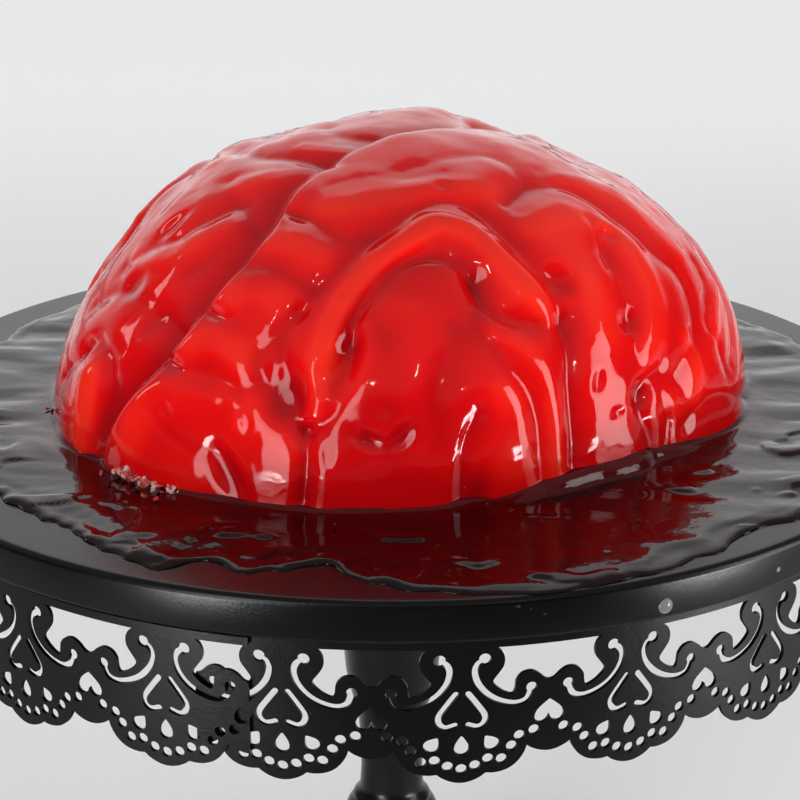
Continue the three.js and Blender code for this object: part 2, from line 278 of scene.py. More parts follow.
def black_metal(name, base, rough_low, rough_high, grain_scale=900.0, grain=0.12, wear=0.4):
    """Satin black powder coat on metal: fine grain, a little unevenness and dust."""
    m, nt, p = material(name)
    where = place(nt)
    broad = node(nt, "ShaderNodeTexNoise", {"Vector": where, "Scale": 14.0, "Detail": 4.0, "Roughness": 0.6}).outputs["Fac"]
    fine = node(nt, "ShaderNodeTexNoise", {"Vector": where, "Scale": grain_scale, "Detail": 3.0, "Roughness": 0.6}).outputs["Fac"]
    dust = node(nt, "ShaderNodeTexNoise", {"Vector": where, "Scale": 420.0, "Detail": 5.0, "Roughness": 0.75}).outputs["Fac"]
    specks = ramp(nt, dust, [(0.0, grey(0)), (0.66, grey(0)), (0.74, grey(1))])
    light = tuple(min(1, c * 1.7 + 0.001) for c in base)
    tint = mix_colour(nt, broad, base, light)
    speck_amount = math_node(nt, "MULTIPLY", specks, 0.10 * wear)
    colour = mix_colour(nt, speck_amount, tint, (0.30, 0.29, 0.28))
    nt.links.new(colour, p.inputs["Base Color"])
    p.inputs["Metallic"].default_value = 0.0
    p.inputs["IOR"].default_value = 1.33
    rough = node(nt, "ShaderNodeMapRange", {"Value": broad, "From Min": 0.3, "From Max": 0.7, "To Min": rough_low, "To Max": rough_high}).outputs["Result"]
    nt.links.new(rough, p.inputs["Roughness"])
    height = math_node(nt, "ADD", math_node(nt, "MULTIPLY", fine, 1.0), math_node(nt, "MULTIPLY", broad, 4.0))
    bump = node(nt, "ShaderNodeBump", {"Strength": grain, "Distance": 0.0004, "Height": height})
    nt.links.new(bump.outputs["Normal"], p.inputs["Normal"])
    return m


def crumb_material():
    m, nt, p = material("torn_glaze_crumbs")
    where = place(nt)
    kind = node(nt, "ShaderNodeAttribute", attribute_name="kind").outputs["Fac"]
    cloud = node(nt, "ShaderNodeTexNoise", {"Vector": where, "Scale": 900.0, "Detail": 4.0, "Roughness": 0.6}).outputs["Fac"]
    t = math_node(nt, "ADD", kind, math_node(nt, "MULTIPLY", math_node(nt, "SUBTRACT", cloud, 0.5), 0.35))
    colour = ramp(nt, t, [
        (0.0, (0.012, 0.003, 0.003)),
        (0.3, (0.10, 0.006, 0.008)),
        (0.55, (0.55, 0.03, 0.03)),
        (0.85, (0.72, 0.22, 0.20)),
        (1.0, (0.82, 0.50, 0.46)),
    ])
    nt.links.new(colour, p.inputs["Base Color"])
    p.inputs["Roughness"].default_value = 0.38
    bump = node(nt, "ShaderNodeBump", {"Strength": 0.5, "Distance": 0.0006, "Height": cloud})
    nt.links.new(bump.outputs["Normal"], p.inputs["Normal"])
    return m


def drop_material():
    m, nt, p = material("glaze_drop_grey")
    # the large drops are coloured pale grey, a painted light for the light they catch, the small ones dark
    kind = node(nt, "ShaderNodeAttribute", attribute_name="kind").outputs["Fac"]
    cloud = node(nt, "ShaderNodeTexNoise", {"Vector": place(nt), "Scale": 420.0, "Detail": 2.0}).outputs["Fac"]
    t = math_node(nt, "ADD", kind, math_node(nt, "MULTIPLY", math_node(nt, "SUBTRACT", cloud, 0.5), 0.4))
    nt.links.new(ramp(nt, t, [(0.1, (0.012, 0.008, 0.008)), (0.6, (0.07, 0.06, 0.06)), (1.0, (0.26, 0.24, 0.24))]), p.inputs["Base Color"])
    p.inputs["Roughness"].default_value = 0.14
    p.inputs["IOR"].default_value = 1.38
    return m


def floor_material():
    m, nt, p = material("pale_floor_shaded_front")
    where = place(nt)
    cloud = node(nt, "ShaderNodeTexNoise", {"Vector": where, "Scale": 0.6, "Detail": 2.0}).outputs["Fac"]
    colour = ramp(nt, cloud, [(0.0, (0.80, 0.80, 0.805)), (1.0, (0.83, 0.83, 0.83))])
    # the sweep is graded: a darker grey in front of the stand, a painted shade for the dim side of the room there, and
    # pale beside and behind it
    front_shade_mask = node(nt, "ShaderNodeMapRange", {"Value": node(nt, "ShaderNodeSeparateXYZ", {"Vector": where}).outputs["Y"], "From Min": -0.50, "From Max": -0.16, "To Min": 0.0, "To Max": 1.0}, interpolation_type="SMOOTHSTEP").outputs["Result"]
    colour = mix_colour(nt, front_shade_mask, (0.34, 0.34, 0.344), colour)
    nt.links.new(colour, p.inputs["Base Color"])
    p.inputs["Roughness"].default_value = 0.9
    p.inputs["Specular IOR Level"].default_value = 0.1
    return m


# ------------------------------------------------------------------ camera
def make_camera():
    down, across, tilt = math.radians(19.271), math.radians(0.208), math.radians(0.216)
    forward = Vector((math.sin(across) * math.cos(down), math.cos(across) * math.cos(down), -math.sin(down)))
    right = Vector((math.cos(across), -math.sin(across), 0))
    up = right.cross(forward)
    r = math.cos(tilt) * right + math.sin(tilt) * up
    u = -math.sin(tilt) * right + math.cos(tilt) * up
    data = bpy.data.cameras.new("camera")
    data.sensor_width = 36.0
    data.lens = 36.0 * 2127.67 / 800.0
    data.clip_start = 0.02
    data.clip_end = 60.0
    cam = bpy.data.objects.new("camera", data)
    cam.matrix_world = Matrix((
        (r.x, u.x, -forward.x, 0.0),
        (r.y, u.y, -forward.y, -0.5968),
        (r.z, u.z, -forward.z, TOP * MM + 0.2058),
        (0, 0, 0, 1),
    ))
    scene.collection.objects.link(cam)
    scene.camera = cam


# ------------------------------------------------------------------ cake
CAKE_CENTRE = np.array([2.7, 4.0])
HALF_LENGTH, HALF_WIDTH, HEIGHT, ROUND = 103.0, 93.0, 82.0, 2.25
TURN = math.radians(42.0)
FISSURE_DEPTH, FULLNESS = 3.6, 0.4
VALLEY_DEPTH, RIDGE_HEIGHT = 0.78, 0.62

# The bottom of the long fissure: how far along the cake, and how far across.
FISSURE = [(-103, 4), (-100, -1.5), (-95, -9), (-84, -13.5), (-72, -16.5), (-62, -15), (-52, -11), (-38, -8.5), (-20, -8.5), (0, -9.5), (30, -7), (70, -2), (103, 3)]

# Each valley: its depth and width in millimetres, then around and up angles that it bends through, in degrees.
VALLEYS = [
    (2.4, 3, 212, 35.5, 215, 41, 219.5, 46.5, 225.5, 52, 232.5, 55.5, 241, 58, 249.5, 56.5, 254.5, 50.5, 258, 43.5, 259.5, 37, 260, 31),
    (2.9, 2.4, 260, 31, 260, 25.5, 258.5, 16.5, 258, 4.5),
    (3.3, 2.8, 222.5, 30.5, 223, 35, 225, 40, 230, 45, 236.5, 46.5, 242.5, 44.5, 245.5, 40.5),
    (2.2, 2, 245.5, 40.5, 246.5, 36, 250.5, 33, 255, 31.5),
    (1.5, 1.7, 244, 31, 247, 25.5, 250, 20, 251.5, 14.5, 252, 8, 252, 1),
    (1.8, 3.8, 245, 37.5, 242, 32, 239, 28.5, 236.5, 23.5, 235.5, 18.5, 236.5, 13),
    (2.4, 1.6, 242, 17.5, 240, 12.5, 239.5, 7.5, 239.5, 1.5),
    (1.0, 2.6, 229, 31, 229.5, 25.5, 228.5, 19),
    (1.5, 1.6, 212, 35.5, 210.5, 30, 212, 25.5, 215, 22.5, 216, 18, 216.5, 14.5),
    (2, 1.8, 216.5, 14.5, 220, 17, 222, 21.5, 222.5, 26, 223, 31),
    (2.6, 1.2, 216.5, 14.5, 217, 9, 217, 2),
    (1.3, 1.6, 212, 35.5, 209, 31, 207, 27, 208.5, 22.5),
    (1.6, 3, 188.5, 22, 194.5, 22, 200.5, 22, 205, 21, 208, 22.5),
    (1.3, 2.6, 189, 14, 192.5, 11.5, 197.5, 10, 201, 9),
    (1.7, 3.2, 193.5, 33, 199, 32, 203.5, 30, 206, 28),
    (1.7, 3, 202, 54.5, 209.5, 52.5, 217, 50.5, 223.5, 52),
    (1.6, 3, 197.5, 42.5, 205, 42.5, 211.5, 41, 214.5, 40),
    (1, 1.5, 280.5, 47.5, 279, 43, 277, 39),
    (1.3, 3, 278, 41, 276.5, 33.5, 275.5, 27.5, 273.5, 22),
    (1.9, 2, 278.5, 17.5, 274, 15.5, 272, 11, 273.5, 5, 274.5, 0),
    (1.6, 1.5, 278, 7.5, 277.5, 1),
    (1.7, 2.7, 261.5, 55.5, 273, 57.5, 284.5, 56, 288.5, 51, 291, 44.5, 293, 38, 295.5, 32, 294, 26, 290, 20.5, 284, 17, 279.5, 14),
    (1.3, 2, 305.5, 32, 303, 27, 296.5, 21.5, 296.5, 16, 296, 11.5),
    (1.3, 2, 328.5, 45, 323.5, 38, 315.5, 30.5, 311.5, 23, 305, 16, 299, 12),
    (1.3, 1.9, 282, 5, 286.5, 8, 294.5, 7, 306.5, 0.5),
    (1.1, 2.5, 229.5, 67, 248, 70, 268.5, 69.5, 275, 65.5, 273, 59.5, 261.5, 55.5),
    (0.9, 2.5, 206.5, 61.5, 217.5, 64.5, 230, 64.5, 245, 65.5),
    (1.6, 3, 156, 35, 162.5, 40.5, 170, 44, 174, 49, 179.5, 54, 191.5, 50.5),
    (1.2, 2.6, 166, 58, 179.5, 54),
    (1.5, 2.6, 121, 59.5, 156.5, 65.5, 184, 68.5, 198.5, 68),
    (1.5, 3, 152.5, 25.5, 161.5, 30, 172, 31, 180.5, 30.5, 187, 28.5),
    (2.2, 2.2, 154, 10.5, 160, 16, 164.5, 21, 171, 20.5, 175, 17.5, 176.5, 12.5, 174.5, 4),
    (1.2, 2.2, 139.5, 78, 172.5, 78.5, 201, 80),
    (2.4, 3, 343, 50, 338, 30, 336, 2),
    (2.0, 3, 356, 36, 348, 22, 352, 2),
    # on the far side, out of the photograph
    (2.4, 2.6, 58, 62, 50, 56, 41, 54, 33, 50, 27, 43, 25, 35, 29, 28, 36, 25, 43, 27, 47, 33, 45, 40, 39, 43),
    (2.2, 2.4, 14, 60, 17, 50, 15, 41, 10, 33, 9, 24, 13, 15, 12, 3),
    (2.2, 2.4, 29, 28, 26, 20, 29, 12, 28, 2),
    (2.0, 2.4, 47, 33, 54, 26, 54, 18, 50, 11, 51, 2),
    (2.0, 2.6, 84, 64, 72, 61, 62, 63, 50, 66, 36, 66, 24, 62, 14, 60),
    (1.8, 2.2, 41, 16, 39, 9, 41, 2),
]

# Each ridge: its height and half its width, then the angles that it bends through.
RIDGES = [
    (2.0, 3.6, 220, 38, 224.5, 45, 231, 49.5, 239.5, 52.5, 247, 49, 251.5, 43, 255.5, 37, 258, 32.5),
    (1.5, 3.4, 219.5, 37, 218, 31.5, 218, 26.5, 218, 21, 217.5, 17.5),
    (0.9, 2.8, 246, 31, 251.5, 27.5, 254, 22, 254.5, 15.5, 254, 6.5),
    (1.1, 3.0, 225, 33, 225.5, 28, 222.5, 21.5, 220.5, 17),
    (1.1, 6, 186, 7.5, 187.5, 12.5, 192, 18, 199, 20),
    (1.1, 5, 192.5, 26.5, 197.5, 28.5, 203, 27),
    (1.1, 5, 197.5, 36, 201.5, 38.5, 209.5, 37),
    (1, 4.5, 202, 48, 207.5, 47.5, 214, 46),
    (0.9, 5, 210.5, 57, 224, 59, 239, 60.5, 255, 59.5, 259, 56.5),
    (1.2, 4.6, 263.5, 49, 274.5, 50, 282, 46, 285.5, 40, 284, 32.5, 280.5, 25.5, 276.5, 21),
    (1.3, 4, 287, 20.5, 286.5, 15.5, 285.5, 10.5),
    (0.9, 2.2, 308.5, 25, 301, 21.5, 296, 18),
    (0.9, 4, 287.5, 58.5, 299, 52, 300.5, 43, 301.5, 35.5),
    (1.1, 6, 246.5, 19, 246.5, 13.5, 246.5, 7.5),
    (0.8, 6.5, 231, 35.5, 231, 30, 230.5, 24),
    (1, 4, 157.5, 37, 170.5, 40.5, 178, 44.5, 182.5, 49.5),
    (0.9, 4, 170, 58, 180, 60.5, 190, 65.5),
    (0.8, 3, 169.5, 71.5, 193.5, 74.5),
    (0.8, 5, 269, 35, 267.5, 27.5),
    (1.9, 4.6, 169.5, 15, 172, 10, 172.5, 3.5),
]

# Each dimple, or bump where the depth is negative: its depth, half its length and width, its tilt, and where it is.
DIMPLES = [
    (2.8, 6.6, 5.2, 105, 212.5, 20),
    (1.8, 7.4, 3.4, -55, 204.5, 6),
    (1.1, 4.2, 1.8, -10, 189.5, 22.5),
    (1.1, 4.4, 1.8, -15, 194.5, 33),
    (1.1, 5, 2, -20, 201, 54.5),
    (1.9, 4.6, 3.4, -50, 263, 38),
    (1.1, 3.0, 2.2, -40, 282.5, 44),
    (1.5, 3.8, 3.1, 0, 274.5, 27.5),
    (1.6, 3.8, 3.4, 60, 272.5, 13.5),
    (-0.9, 5.6, 3, 90, 279.5, 11.5),
    (0.6, 3.4, 2, 90, 220, 11),
    (1.6, 3.8, 2.1, -25, 226, 13.5),
    (1.6, 4.2, 2.6, 45, 230.5, 14),
    (0.6, 3, 1.8, 60, 239, 32.5),
    (0.7, 2.6, 1.8, -45, 192, 14.5),
    (-0.5, 1.9, 1.4, -50, 204, 18.5),
    (-0.5, 2.2, 1.5, -70, 205.5, 15),
    (0.9, 5, 3, 60, 179.5, 28),
    (-0.6, 3.2, 1.8, 75, 176.5, 19),
    (0.9, 6.5, 3.2, 65, 183, 40),
    (1.7, 3.8, 3, 0, 161.5, 18),
    (1.3, 6, 4, 20, 166, 33.5),
    (1.2, 6, 3, 60, 163, 46),
    (0.8, 3, 1.6, 60, 264, 18.5),
    (0.7, 2.2, 1.4, 0, 267, 12),
    (0.6, 2.6, 2, 0, 243.5, 61.5),
    (1.9, 7.5, 4.8, 50, 221, 25.5),
    (1.7, 6.5, 2.8, 88, 242, 1.5),
]
HIDDEN_FROM, HIDDEN_TO = 210, 345
# Where the cake stands out past the smooth dome, or falls short of it: around, up, radius, height,
# and how square its shoulder is.
LOBES = [(171, 4, 20, 3.5, 2), (190, 4, 18, 3.5, 2), (237, 22, 22, 2.6, 4), (268, 44, 16, 0.8, 2), (328, 54, 40, -3.2, 2),
         (110, 76, 34, -1.6, 2), (147, 30, 36, -4.4, 2), (334, 73, 26, -2.0, 2), (296, 1, 17, 3.0, 2), (217.5, -7, 11, 1.9, 2),
         (219.5, 8, 9, 1.4, 2), (132, 45, 9, 1.2, 2), (122, 58, 8, 1.1, 2), (97, 71, 9, -1.9, 2), (28, 75, 8, 1.6, 2), (349, 74, 7, -1.2, 2), (6, 71, 6, -2.2, 2),
         (347, 64, 5, 0.9, 2), (334, 58, 6, -1.6, 2), (320, 60, 6, -0.8, 2), (329, 46, 14, 1.2, 2)]
# Where the glaze's colour is made deeper or brighter: painted shade and painted light laid over the glaze's depth.
# Columns: around, up, radius, amount.
GLAZE_SHADE_SPOTS = [
    (230, 21, 22, 0.26), (213.5, 19.5, 6, 0.20), (237, 40, 9, 0.12),
    (220, 26, 7, -0.52), (207, 20, 7, -0.22), (211, 34, 6, -0.20), (171, 5, 8, -0.30), (193, 16, 10, 0.26), (198, 3, 9, -0.30),
    (216, 12, 6, -0.20), (226, 15, 12, 0.12), (239, 9, 6, -0.20), (246, 14, 6, 0.22), (255, 3, 9, -0.30), (280, 4, 11, -0.24),
    (284, 24, 10, 0.20), (270, 17, 5, 0.20), (254, 21, 5, 0.18), (247, 40, 8, -0.22), (220, 37, 6, -0.14), (227, 32, 5, 0.16),
    (203, 41, 7, 0.18), (180, 33, 14, -0.12), (249, 48, 6, 0.16), (268, 40, 14, -0.14), (292, 13, 6, 0.10),
    (199, 21, 6, 0.20), (201, 15, 6, 0.14), (221, 15, 6, 0.14), (246, 12, 6, 0.10), (252, 44, 5, 0.14), (245, 52, 5, 0.14),
    (201, 39, 5, 0.14), (197, 27, 5, 0.14), (205, 28, 5, -0.20), (215, 12, 5, -0.14), (170, 9, 7, -0.20), (253, 3, 8, -0.18),
]


def dome_point(around, up):
    a, e = np.radians(around), np.radians(up)
    c, s = np.cos(a), np.sin(a)
    k = (np.abs(c) ** ROUND + np.abs(s) ** ROUND) ** (-1 / ROUND)
    return np.stack([HALF_LENGTH * np.cos(e) * k * c, HALF_WIDTH * np.cos(e) * k * s, HEIGHT * np.sin(e)], -1)


def dome_normal(p):
    pu, pv = np.abs(p[..., 0]) / HALF_LENGTH, np.abs(p[..., 1]) / HALF_WIDTH
    r = np.maximum(1e-6, (pu ** ROUND + pv ** ROUND) ** (1 / ROUND))
    g = np.stack([
        r ** (2 - ROUND) * pu ** (ROUND - 1) * np.sign(p[..., 0]) / HALF_LENGTH,
        r ** (2 - ROUND) * pv ** (ROUND - 1) * np.sign(p[..., 1]) / HALF_WIDTH,
        p[..., 2] / HEIGHT ** 2], -1)
    return g / np.linalg.norm(g, axis=-1, keepdims=True)


def path_distance(p, path):
    best = np.full(len(p), np.inf)
    for a, b in zip(path[:-1], path[1:]):
        d = b - a
        t = np.clip(((p - a) @ d) / (d @ d + 1e-9), 0, 1)
        q = p - a - t[:, None] * d
        best = np.minimum(best, np.einsum("ij,ij->i", q, q))
    return np.sqrt(best)


def valley(distance, width, bottom):
    return np.exp(-(np.sqrt(distance ** 2 + bottom ** 2) - bottom) / width)


def stroke_curves(table):
    curves = []
    for size, width, *flat in table:
        points = list(zip(flat[::2], flat[1::2]))
        path = bend_through(points, 6)
        curves.append((size, width, dome_point(path[:, 0], np.minimum(path[:, 1], 89))))
        # the half that the photograph hides has the near half's folds, turned round a little
        if all(HIDDEN_FROM <= a <= HIDDEN_TO for a, _ in points):
            other = [(355 - a + 6 * math.sin(math.radians(3 * a)), max(0, e - 2 + 3 * math.cos(math.radians(5 * a)))) for a, e in points]
            path = bend_through(other, 6)
            curves.append((size, width, dome_point(path[:, 0], np.minimum(path[:, 1], 89))))
    return curves


def carve(p, valleys, ridges):
    """How far the surface lies inside the smooth dome, and how dark the glaze is coloured there: glaze depth with
    painted shade in folds, pits and at the base, thin glaze with painted light on ridges and towards the top.
    """
    along = np.clip(p[:, 2] / HEIGHT, 0, 1)
    wander = p + 0.9 * np.stack([noise3(p, 15, 5), noise3(p, 15, 6), noise3(p, 15, 7)], -1)
    line = bend_through(FISSURE, 8)
    across = wander[:, 1] - np.interp(p[:, 0], line[:, 0], line[:, 1])
    # the fissure is steep on its near side and gentle on its far side
    depth = FISSURE_DEPTH * (0.5 + 0.5 * smoothstep(along, 0, 0.2)) * (1 - 0.25 * smoothstep(along, 0.6, 1))
    rest = 1 - depth / 16 * np.where(across < 0, valley(across, 1.5, 0.8), valley(across, 7.0, 3.0))
    for size, width, path in valleys:
        rest = rest * (1 - VALLEY_DEPTH * size / 16 * valley(path_distance(wander, path), width, 1.9))
    fold = 16 * (1 - rest)
    ridge = np.zeros(len(p))
    for size, width, path in ridges:
        ridge += (RIDGE_HEIGHT * size / (1 + (path_distance(wander, path) / width) ** 4)) ** 3
    ridge = ridge ** (1 / 3)
    swell = FULLNESS + ridge
    for a, e, radius, height, square in LOBES:
        q = dome_point(a, e)
        swell += height * np.exp(-(np.linalg.norm(p - q, axis=1) / radius) ** square)
    pit = np.zeros(len(p))
    for size, long, short, tilt, a, e in DIMPLES:
        q = dome_point(a, e)
        right = dome_point(a + 0.5, e) - q
        right /= np.linalg.norm(right)
        up = dome_point(a, e + 0.5) - q
        up -= right * (up @ right)
        up /= np.linalg.norm(up)
        c, s = math.cos(math.radians(tilt)), math.sin(math.radians(tilt))
        x, y = (p - q) @ (right * c + up * s), (p - q) @ (up * c - right * s)
        pit += size * np.exp(-((x / long) ** 2 + (y / short) ** 2) ** 1.4)
    crown = 0.45 + 0.75 * smoothstep(p[:, 2], 30, 70)
    swell += (0.50 * noise3(p, 13, 11) + 0.20 * noise3(p, 7, 12)) * crown + 0.05 * noise3(p, 3.6, 13)
    # The glaze's colour: darker in folds and pits, deep glaze with painted crease shade; lighter on ridges and towards
    # the top, thin glaze with painted light; darker near the base, painted shade and a painted reflection of the dark
    # pool.
    look = 0.33 - 0.10 * smoothstep(p[:, 2], 40, 74) + fold / 5.6 + np.clip(pit, -1, 3) / 5.0 - ridge * 0.45 + 0.25 * (1 - smoothstep(p[:, 2], 2, 20))
    for a, e, radius, amount in GLAZE_SHADE_SPOTS:
        look += amount * np.exp(-(np.linalg.norm(p - dome_point(a, e), axis=1) / radius) ** 2)
    return fold + pit - swell, np.clip(look, 0, 1)


def to_row(p):
    """From the cake's own axes to the row's, with z over the floor."""
    c, s = math.cos(TURN), math.sin(TURN)
    return np.stack([CAKE_CENTRE[0] + p[..., 0] * c - p[..., 1] * s, CAKE_CENTRE[1] + p[..., 0] * s + p[..., 1] * c, TOP + 0.3 + p[..., 2]], -1)


def ring_dome(rings, base_steps):
    """Rings of points up a dome, closer to even than a globe's, and the faces that join them."""
    counts = [max(8, round(base_steps * math.cos(math.radians(90 * k / rings)))) for k in range(rings)]
    starts = np.cumsum([0] + counts)
    around, up, faces = [], [], []
    for k, n in enumerate(counts):
        around.append(360 * (np.arange(n) + 0.5 * (k % 2)) / n)
        up.append(np.full(n, 90.0 * k / rings))
    for k in range(rings - 1):
        nl, nh = counts[k], counts[k + 1]
        i = j = 0
        while i < nl or j < nh:
            low, high = around[k][0] + 360 * (i + 1) / nl, around[k + 1][0] + 360 * (j + 1) / nh
            a, b = starts[k] + i % nl, starts[k + 1] + j % nh
            if j >= nh or (i < nl and low <= high):
                faces.append((a, starts[k] + (i + 1) % nl, b))
                i += 1
            else:
                faces.append((a, starts[k + 1] + (j + 1) % nh, b))
                j += 1
    apex = int(starts[-1])
    for i in range(counts[-1]):
        faces.append((starts[-2] + i, starts[-2] + (i + 1) % counts[-1], apex))
    return np.concatenate(around + [[0.0]]), np.concatenate(up + [[90.0]]), faces, counts[0], apex


def make_cake():
    around, up, faces, base, apex = ring_dome(168, 700)
    p = dome_point(around, np.minimum(up, 89.999))
    n = dome_normal(p)
    d, look = carve(p, stroke_curves(VALLEYS), stroke_curves(RIDGES))
    q = p - n * d[:, None]
    q[:, 2] = np.maximum(q[:, 2], 0)
    row = to_row(q)
    middle = len(row)
    row = np.vstack([row, to_row(np.array([[0, 0, 0.0]]))])
    faces += [((i + 1) % base, i, middle) for i in range(base)]
    ob = mesh_object("brain_cake", row, faces)
    # the fold attribute carries the glaze colour's darkness, with its painted shade and painted light
    point_attribute(ob, "fold", np.append(look, 0))
    return ob, row[:base]


# ------------------------------------------------------------------ pool of glaze
# The pool's outer edge: angle from the front, positive to the right, and distance from the plate's middle.
POOL_EDGE = [
    (-49, 134), (-44.6, 134.6), (-39.9, 137.7), (-37.2, 132.6), (-31.6, 135.8), (-27.1, 142.3), (-23.8, 141.6), (-20.2, 134.8),
    (-17.3, 136.8), (-13.7, 137.5), (-6.3, 131.3), (-2.7, 136.5), (0.7, 143.7), (4.2, 144.1), (9.9, 147.6), (13.2, 148.6),
    (20.1, 148.4), (26.2, 146.4), (34.2, 143.6), (36.2, 139.8), (41.6, 137.9), (45.9, 143.0), (60, 140), (78, 137), (95, 141),
    (110, 137), (128, 134), (150, 139), (172, 135), (192, 138), (214, 133), (236, 137), (250, 133), (272, 139), (292, 135),
]


def around_angle(x, y):
    return np.degrees(np.arctan2(x, -y))


def make_pool(outline):
    steps, radial = 760, 84
    phi = np.linspace(-180, 180, steps, endpoint=False)
    # the cake's outline, by angle round the plate's middle
    a = around_angle(outline[:, 0], outline[:, 1])
    r = np.hypot(outline[:, 0], outline[:, 1])
    o = np.argsort(a)
    inner = np.interp(phi, a[o], r[o], period=360)
    ea = np.array([((e[0] + 180) % 360) - 180 for e in POOL_EDGE])
    er = np.array([e[1] for e in POOL_EDGE], float)
    o = np.argsort(ea)
    outer = np.interp(phi, ea[o], er[o], period=360)
    kernel = np.hanning(9); kernel /= kernel.sum()
    outer = np.convolve(np.concatenate([outer[-4:], outer, outer[:4]]), kernel, "valid")
    ring = np.stack([np.cos(np.radians(phi)) * 140, np.sin(np.radians(phi)) * 140, 0 * phi], -1)
    ragged = 1.0 + 1.6 * smoothstep(phi, -62, -48) * smoothstep(phi, 6, -6)
    outer = np.minimum(outer + ragged * (1.1 * noise3(ring, 9, 31) + 0.6 * noise3(ring, 4.5, 32)), PLATE_R - 1.0)
    # radial spacing is finer at the two edges
    s = np.linspace(0, 1, radial)
    s = 0.5 - 0.5 * np.cos(np.pi * s) * (0.35 + 0.65 * np.abs(np.cos(np.pi * s)) ** 0.2)
    s = (s - s[0]) / (s[-1] - s[0])
    R = (inner - 2.5)[:, None] + (outer - inner + 2.5)[:, None] * s[None, :]
    A = np.radians(phi)[:, None]
    X, Y = R * np.sin(A), -R * np.cos(A)
    P = np.stack([X, Y, 0 * X], -1)
    gap_in = np.maximum(R - inner[:, None], 0)
    gap_out = np.maximum(outer[:, None] - R, 0)
    # long low waves that lie across the flow, wrinkled and warped
    warp = np.stack([3.2 * noise3(P, 21, 41), 3.2 * noise3(P, 21, 42), 0 * X], -1)
    Q = P + warp
    stretched = Q * np.array([0.55, 1.25, 1])
    w1 = noise3(stretched, 13, 43)
    w2 = noise3(stretched, 6.5, 44)
    w3 = fbm(Q, 30, 45, 2)
    side = smoothstep(np.abs(X), 70, 120) * 0.55 + 0.45 + 0.25 * smoothstep(Y, 0, 80)
    ripple = (0.66 * np.sign(w1) * np.abs(w1) ** 1.15 + 0.18 * w2) * side + 0.25 * w3
    calm = smoothstep(gap_in, 0, 8) * smoothstep(gap_out, 0.5, 6)
    # flat lumps with round edges, where the glaze set in its own folds
    lumps = smoothstep(noise3(Q * np.array([0.7, 1.6, 1]), 13, 48) + 0.35 * noise3(Q, 5, 49), 0.16, 0.46)
    Z = 1.2 + ripple * (0.25 + 0.75 * calm) + 0.75 * lumps * smoothstep(gap_in, 9, 18) * smoothstep(Y, 10, -60)
    # the glaze climbs a little at the cake, and stands in a rounded lip at its own edge
    right_front = smoothstep(A, math.radians(14), math.radians(30)) * smoothstep(A, math.radians(64), math.radians(44))
    Z += (1.2 + 0.5 * noise3(P, 9, 47)) * np.exp(-gap_in / (0.7 + 0.3 * noise3(P, 12, 50)))
    bead = 1.1 + 0.9 * noise3(P, 10, 52)
    Z += 2.9 * right_front * (1 - smoothstep(gap_in, bead, bead + 1.9))
    lip = np.sqrt(np.clip(1 - (1 - np.clip(gap_out / 1.5, 0, 1)) ** 2, 0, 1))
    Z *= 0.35 + 0.65 * smoothstep(gap_out, 0, 9 + 5 * noise3(P, 14, 46))
    Z += 0.42 * np.exp(-((gap_out - 2.6) / 2.1) ** 2) * (0.8 + 0.5 * noise3(P, 8, 51))
    Z = np.maximum(0.35, Z) * lip
    Z = np.maximum(Z, 0.04)
    top = np.stack([X, Y, TOP + Z], -1).reshape(-1, 3)
    under_in = np.stack([X[:, 0], Y[:, 0], np.full(steps, TOP + 0.02)], -1)
    under_out = np.stack([X[:, -1], Y[:, -1], np.full(steps, TOP + 0.02)], -1)
    vertices = np.vstack([top, under_in, under_out])
    faces = []
    n = steps * radial
    for i in range(steps):
        j = (i + 1) % steps
        for k in range(radial - 1):
            faces.append((i * radial + k, i * radial + k + 1, j * radial + k + 1, j * radial + k))
        faces.append((i * radial + radial - 1, n + steps + i, n + steps + j, j * radial + radial - 1))
        faces.append((n + i, i * radial, j * radial, n + j))
        faces.append((n + steps + i, n + i, n + j, n + steps + j))
    ob = mesh_object("glaze_pool", vertices, faces)
    front = smoothstep(-Y, -20, 60)
    thick = 0.25 + 0.5 * np.exp(-gap_in / 9) + 0.22 * front * np.exp(-gap_in / 40) + 0.12 * (Z - 1.2)
    point_attribute(ob, "thick", np.concatenate([np.clip(thick, 0, 1).ravel(), np.zeros(2 * steps)]))
    return ob


# ------------------------------------------------------------------ lace skirt
PITCH, FIRST = 16.608, -10.19
STRIP_START, STRIP_END = -18.3, 346.4
HALF = 21.35
LACE_Z = TOP - 38.5
MODULES = 22
WINDOW_TOP = 25.3


def strip_radius(angle):
    """The outside of the strip, which winds outward to lie over its own beginning."""
    t = (np.asarray(angle, float) - STRIP_START) / (STRIP_END - STRIP_START)
    return 147.9 + 0.75 * (0.25 * t + 0.75 * smoothstep(t, 0.7, 0.96)) + 0.65 * smoothstep(t, 0.9, 0.975)


def lobe(a, b, bulge, steps):
    a, b = np.array(a, float), np.array(b, float)
    d = b - a
    side = np.array([d[1], -d[0]]) / np.linalg.norm(d)
    t = np.arange(steps) / steps
    return a + d * t[:, None] + side * (bulge * np.sin(np.pi * t) ** 0.8)[:, None]


